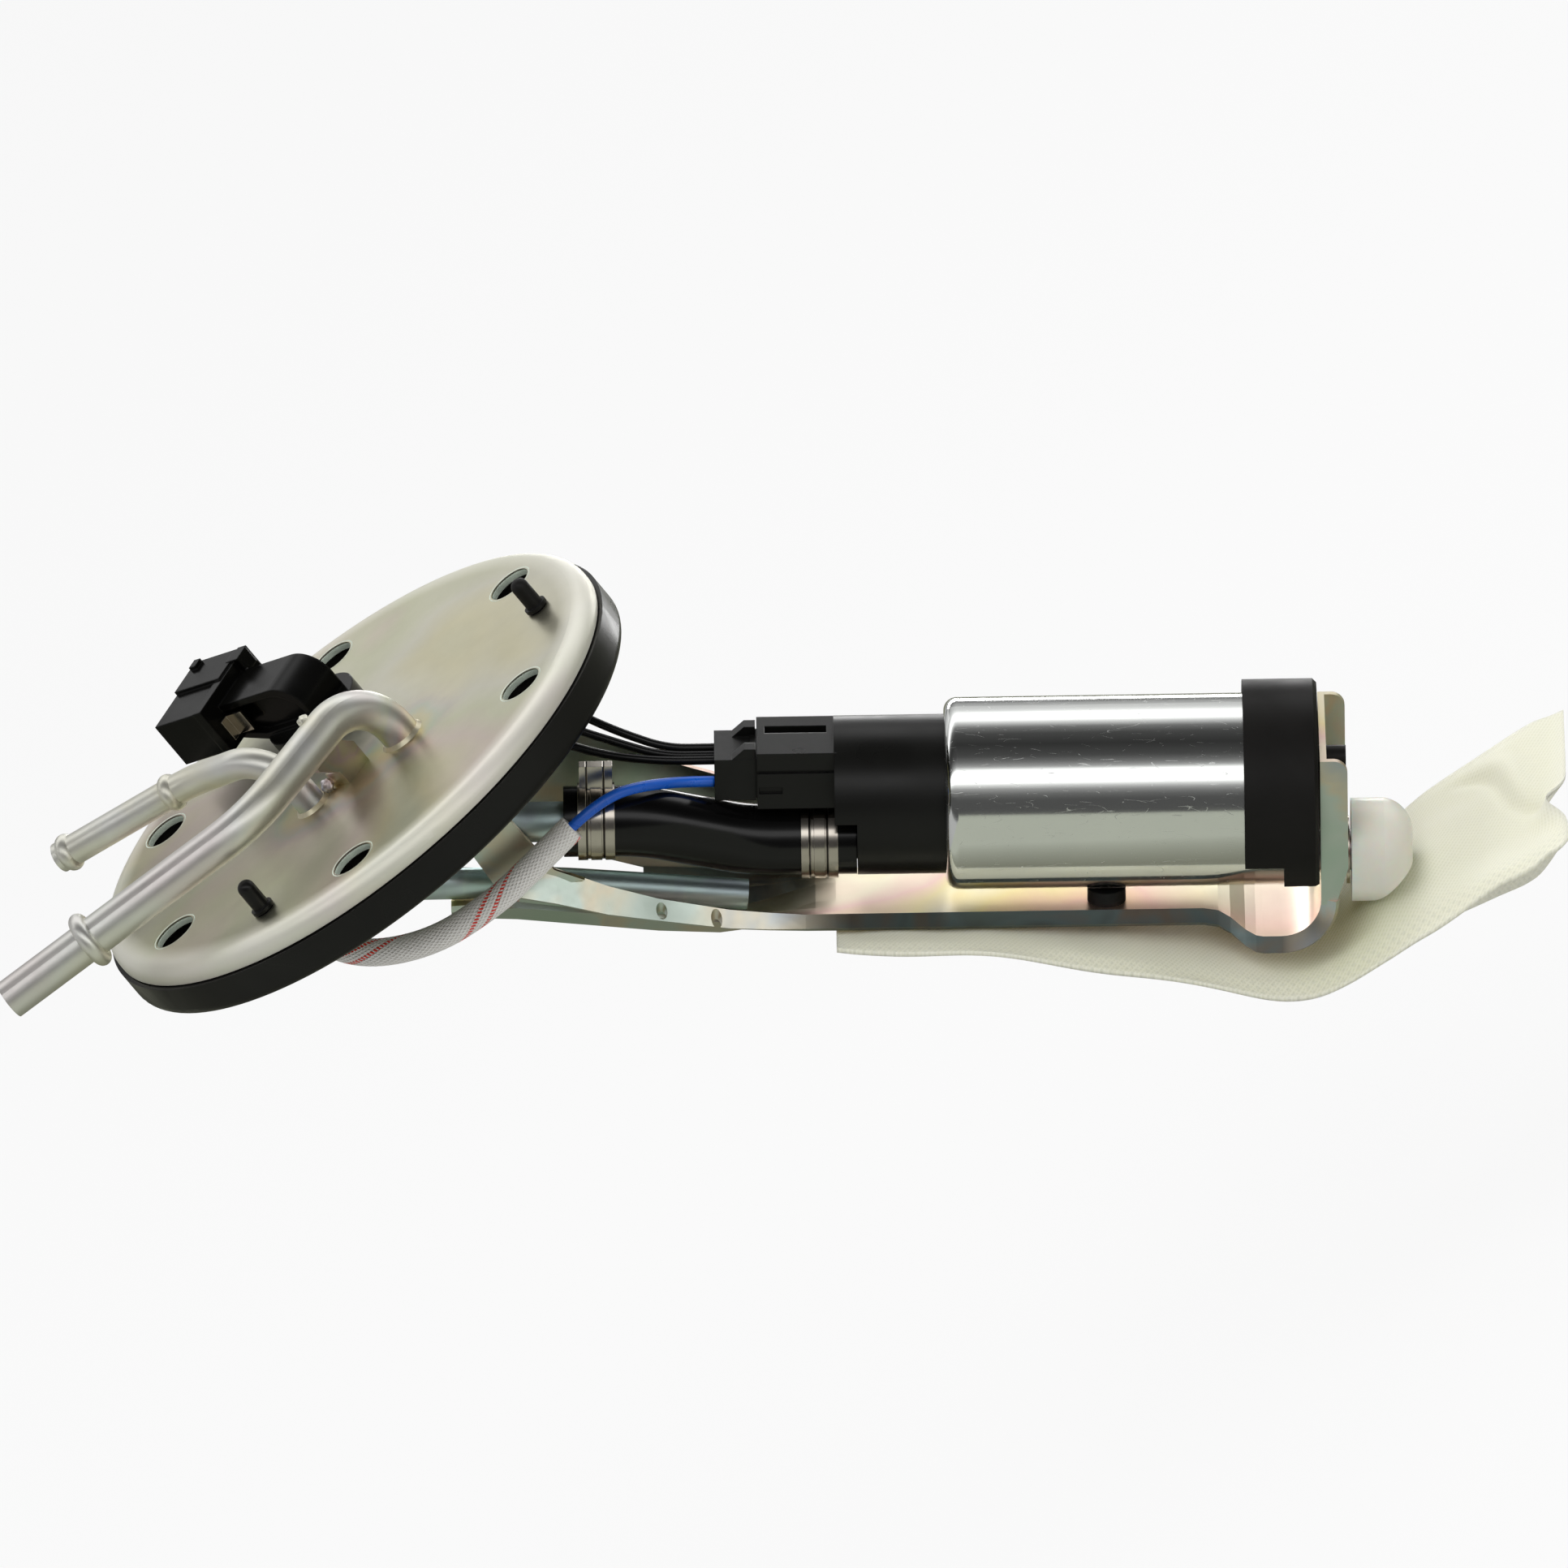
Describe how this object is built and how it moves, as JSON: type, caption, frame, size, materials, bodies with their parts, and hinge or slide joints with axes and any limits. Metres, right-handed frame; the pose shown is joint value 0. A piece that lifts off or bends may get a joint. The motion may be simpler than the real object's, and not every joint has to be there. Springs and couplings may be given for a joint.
{
  "type": "in-tank fuel pump",
  "caption": "Round tank flange with two bent tubes and an elbow connector; below it a bracket carries an electric fuel pump with hose, wired plug and sock strainer.",
  "frame": {"origin": "centre of the flange plate's outer face, on the bolt circle's axis", "axes": "+Z is the plate's outward normal, the tube side; +X is the way the pump leans out below the plate; +Y completes a right-handed frame"},
  "size_m": [0.2645, 0.1218, 0.1766],
  "materials": {
    "zinc_plate": "satin zinc plate with faint yellow chromate tint",
    "tube_steel": "bright satin plated tube",
    "braze": "pale yellow braze",
    "gasket_rubber": "semi-gloss black rubber",
    "connector_plastic": "satin black nylon",
    "bracket_steel": "yellow-tinted zinc plate, cut edges bare",
    "hose_rubber": "glossy black extruded rubber",
    "clamp_steel": "dull stainless",
    "plug_plastic": "black nylon",
    "case_steel": "bright plated can with long reflections",
    "cap_plastic": "glossy black nylon",
    "isolator_rubber": "matt dark grey rubber",
    "bumper_rubber": "matt black rubber",
    "neck_nylon": "milky natural nylon",
    "sock_mesh": "fine cream filter mesh",
    "sleeve_braid": "varnished off-white braid with red tracers",
    "wire_black": "black lead insulation",
    "wire_blue": "blue lead insulation",
    "contact_brass": "bare brass",
    "shaft_steel": "ground steel",
    "core_steel": "stacked electrical steel",
    "copper": "enamelled copper",
    "ferrite": "sintered ferrite",
    "carbon": "pressed carbon",
    "bearing_bronze": "sintered bronze",
    "impeller_plastic": "dark phenolic",
    "port_aluminium": "die-cast aluminium"
  },
  "bodies": {
    "frame": {"flange_plate": "zinc_plate", "flange_gasket": "gasket_rubber", "feed_tube": "tube_steel", "return_tube": "tube_steel", "feed_braze": "braze", "return_braze": "braze", "tube_stay": "zinc_plate", "connector_body": "connector_plastic", "connector_seal": "gasket_rubber", "connector_pins": "contact_brass", "connector_clip": "contact_brass", "bracket": "bracket_steel", "pump_case": "case_steel", "outlet_cap": "cap_plastic", "pump_terminals": "contact_brass", "hose": "hose_rubber", "hose_clamp_upper": "clamp_steel", "hose_clamp_lower": "clamp_steel", "plug": "plug_plastic", "magnets": "ferrite", "magnet_clips": "shaft_steel", "brush_spring_far": "shaft_steel", "brush_spring_near": "shaft_steel", "bearing_outlet": "bearing_bronze", "bearing_inlet": "bearing_bronze", "impeller_plate": "port_aluminium", "inlet_cover": "port_aluminium", "check_spring": "shaft_steel", "relief_spring": "shaft_steel", "relief_seat": "contact_brass", "isolator": "isolator_rubber", "bumper": "bumper_rubber", "strainer_washer": "clamp_steel", "strainer_neck": "neck_nylon", "strainer_sock": "sock_mesh", "lead_black_1": "wire_black", "lead_black_2": "wire_black", "lead_black_3": "wire_black", "lead_blue": "wire_blue", "sleeve": "sleeve_braid"},
    "rotor": {"rotor_shaft": "shaft_steel", "rotor_core": "core_steel", "rotor_windings": "copper", "commutator": "copper", "impeller": "impeller_plastic"},
    "check": {"check_valve": "contact_brass"},
    "relief": {"relief_valve": "shaft_steel"},
    "carbon_near": {"brush_near": "carbon"},
    "carbon_far": {"brush_far": "carbon"}
  },
  "joints": [
    {"name": "rotor_spin", "type": "hinge", "parent": "frame", "child": "rotor", "pos_m": [0.11496, 0, -0.09686], "axis": [0.8055, 0, -0.5926], "continuous": true},
    {"name": "check_slide", "type": "slide", "parent": "frame", "child": "check", "axis": [-0.8055, 0, 0.5926], "range_m": [0, 0.002], "stiffness_N_per_m": 150, "springref_m": -0.001, "deforming": ["check_spring"]},
    {"name": "relief_slide", "type": "slide", "parent": "frame", "child": "relief", "axis": [-0.8055, 0, 0.5926], "range_m": [0, 0.0012], "stiffness_N_per_m": 900, "springref_m": -0.001, "deforming": ["relief_spring"]},
    {"name": "brush_near_slide", "type": "slide", "parent": "frame", "child": "carbon_near", "axis": [-0.8055, 0, 0.5926], "range_m": [0, 0.003], "stiffness_N_per_m": 120, "springref_m": -0.001, "deforming": ["brush_spring_near"]},
    {"name": "brush_far_slide", "type": "slide", "parent": "frame", "child": "carbon_far", "axis": [-0.8055, 0, 0.5926], "range_m": [0, 0.003], "stiffness_N_per_m": 120, "springref_m": -0.001, "deforming": ["brush_spring_far"]}
  ]
}
